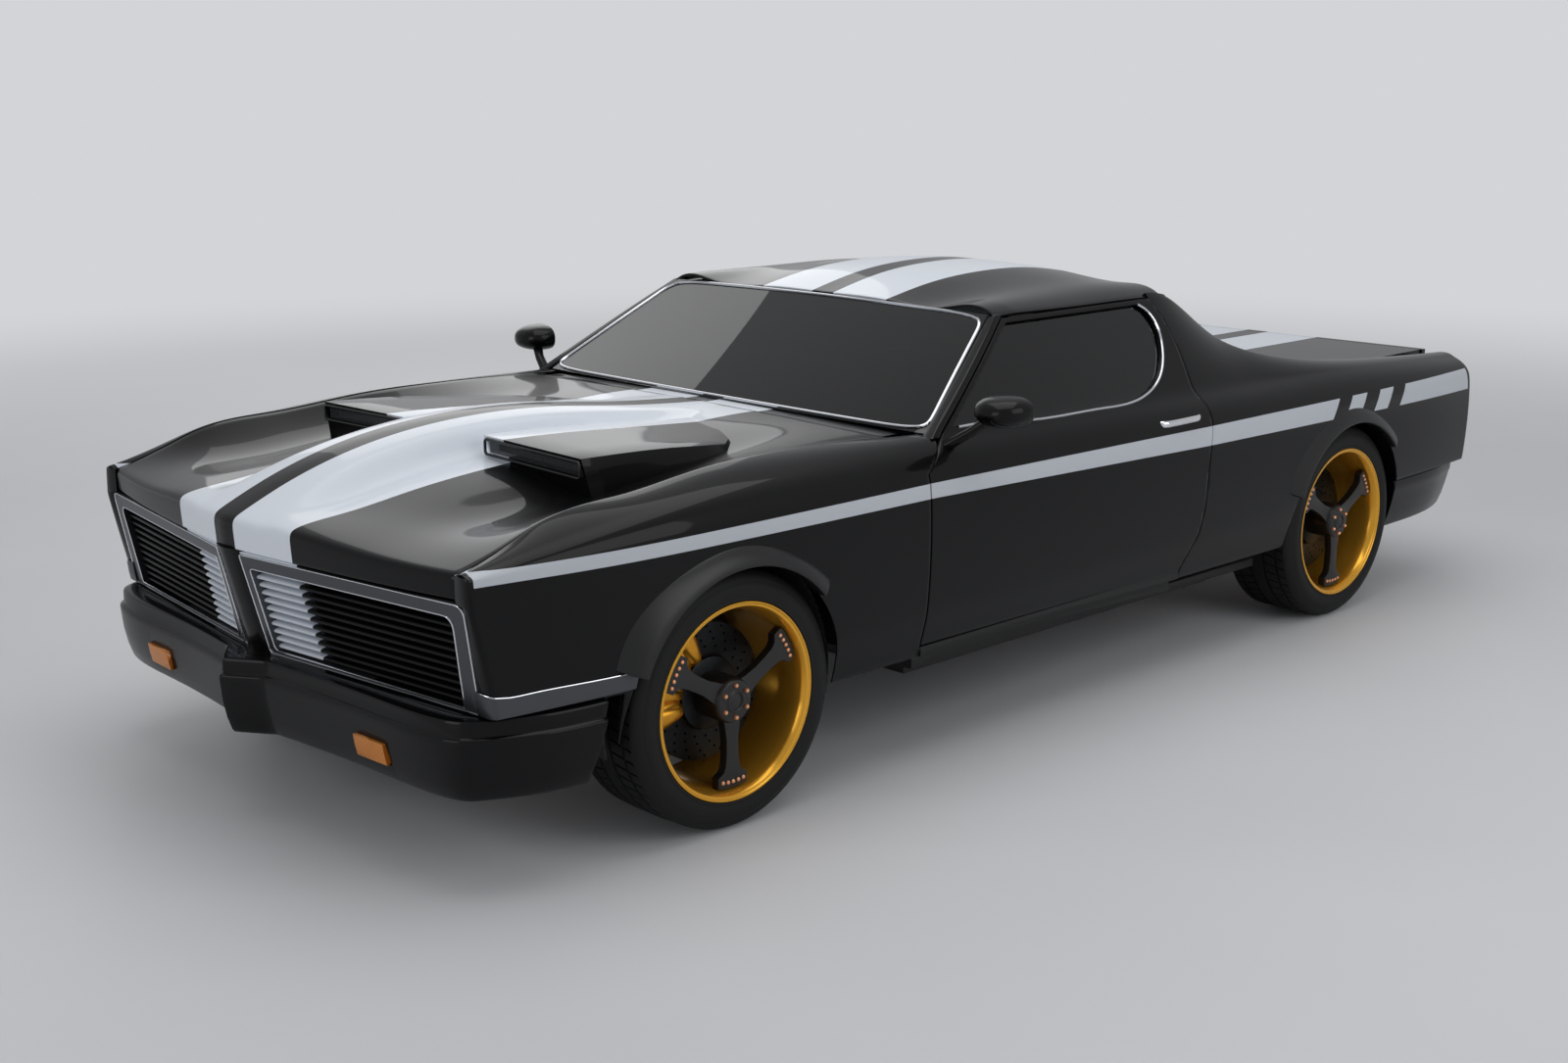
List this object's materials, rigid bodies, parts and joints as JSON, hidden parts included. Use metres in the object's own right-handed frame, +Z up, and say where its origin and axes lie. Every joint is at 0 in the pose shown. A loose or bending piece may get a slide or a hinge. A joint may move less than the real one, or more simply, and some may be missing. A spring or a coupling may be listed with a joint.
{
  "type": "muscle car",
  "caption": "Two-door fastback muscle car with opening doors, hood and boot lid, steered front wheels and deep-dish rims.",
  "frame": {"origin": "on the ground, midway between the wheels and at half the car's length", "axes": "front of the car towards -Y, its left side towards +X, +Z up"},
  "size_m": [2.232, 4.58, 1.243],
  "materials": {
    "body_paint": "deep gloss black paint with white stripes",
    "tinted_glass": "dark tinted laminated glass",
    "grille_black": "black slats, white where the stripes run over them",
    "mesh_black": "black woven mesh",
    "bright_trim": "satin silver bright metal",
    "amber_lens": "ribbed amber lens",
    "red_lens": "ribbed red lens",
    "seat_leather": "black stitched leather",
    "cabin_plastic": "grained black plastic",
    "underbody_black": "satin black underbody coating",
    "cast_metal": "cast metal, lightly oiled",
    "chassis_black": "satin black chassis enamel",
    "exhaust_steel": "stainless steel tube",
    "tyre_rubber": "black rubber, low profile",
    "gold_rim": "polished gold-anodised barrel",
    "spoke_black": "satin black spokes with copper bolts"
  },
  "bodies": {
    "body": {"roof": "body_paint", "quarter_left": "body_paint", "quarter_right": "body_paint", "fender_left": "body_paint", "fender_right": "body_paint", "floor_pan": "underbody_black", "cowl": "body_paint", "nose_panel": "body_paint", "rear_deck": "body_paint", "front_bumper": "body_paint", "rear_bumper": "body_paint", "grille": "grille_black", "grille_surround": "bright_trim", "windshield": "tinted_glass", "rear_window": "tinted_glass", "front_lamps": "amber_lens", "tail_lamps": "red_lens", "seats": "seat_leather", "dashboard": "cabin_plastic", "drivetrain": "cast_metal", "exhaust": "exhaust_steel", "rear_axle": "chassis_black", "front_suspension": "chassis_black"},
    "hood": {"hood": "body_paint", "scoop_mesh": "mesh_black"},
    "trunk_lid": {"trunk_lid": "body_paint"},
    "door_left": {"door_left": "body_paint", "door_glass_left": "tinted_glass"},
    "door_right": {"door_right": "body_paint", "door_glass_right": "tinted_glass"},
    "knuckle_left": {"knuckle_left": "chassis_black"},
    "knuckle_right": {"knuckle_right": "chassis_black"},
    "wheel_front_left": {"tyre_front_left": "tyre_rubber", "rim_front_left": "gold_rim", "spider_front_left": "spoke_black"},
    "wheel_front_right": {"tyre_front_right": "tyre_rubber", "rim_front_right": "gold_rim", "spider_front_right": "spoke_black"},
    "wheel_rear_left": {"tyre_rear_left": "tyre_rubber", "rim_rear_left": "gold_rim", "spider_rear_left": "spoke_black"},
    "wheel_rear_right": {"tyre_rear_right": "tyre_rubber", "rim_rear_right": "gold_rim", "spider_rear_right": "spoke_black"}
  },
  "joints": [
    {"name": "steer_left", "type": "hinge", "parent": "body", "child": "knuckle_left", "pos_m": [0.786, -1.4, 0.329], "axis": [0, 0, 1], "range_deg": [-30, 30]},
    {"name": "steer_right", "type": "hinge", "parent": "body", "child": "knuckle_right", "pos_m": [-0.786, -1.4, 0.329], "axis": [0, 0, 1], "range_deg": [-30, 30]},
    {"name": "roll_front_left", "type": "hinge", "parent": "knuckle_left", "child": "wheel_front_left", "pos_m": [0.786, -1.4, 0.329], "axis": [1, 0, 0], "continuous": true},
    {"name": "roll_front_right", "type": "hinge", "parent": "knuckle_right", "child": "wheel_front_right", "pos_m": [-0.786, -1.4, 0.329], "axis": [1, 0, 0], "continuous": true},
    {"name": "roll_rear_left", "type": "hinge", "parent": "body", "child": "wheel_rear_left", "pos_m": [0.786, 1.4, 0.329], "axis": [1, 0, 0], "continuous": true},
    {"name": "roll_rear_right", "type": "hinge", "parent": "body", "child": "wheel_rear_right", "pos_m": [-0.786, 1.4, 0.329], "axis": [1, 0, 0], "continuous": true},
    {"name": "door_left_hinge", "type": "hinge", "parent": "body", "child": "door_left", "pos_m": [0.9345, -0.723, 0.6], "axis": [0, 0, -1], "range_deg": [0, 65]},
    {"name": "door_right_hinge", "type": "hinge", "parent": "body", "child": "door_right", "pos_m": [-0.9345, -0.723, 0.6], "axis": [0, 0, 1], "range_deg": [0, 65]},
    {"name": "hood_hinge", "type": "hinge", "parent": "body", "child": "hood", "pos_m": [0, -0.716, 0.897], "axis": [-1, 0, 0], "range_deg": [0, 50]},
    {"name": "trunk_hinge", "type": "hinge", "parent": "body", "child": "trunk_lid", "pos_m": [0, 1.502, 0.816], "axis": [1, 0, 0], "range_deg": [0, 70]}
  ],
  "couplings": [
    {"joint": "steer_right", "follows": "steer_left", "ratio": 1}
  ]
}
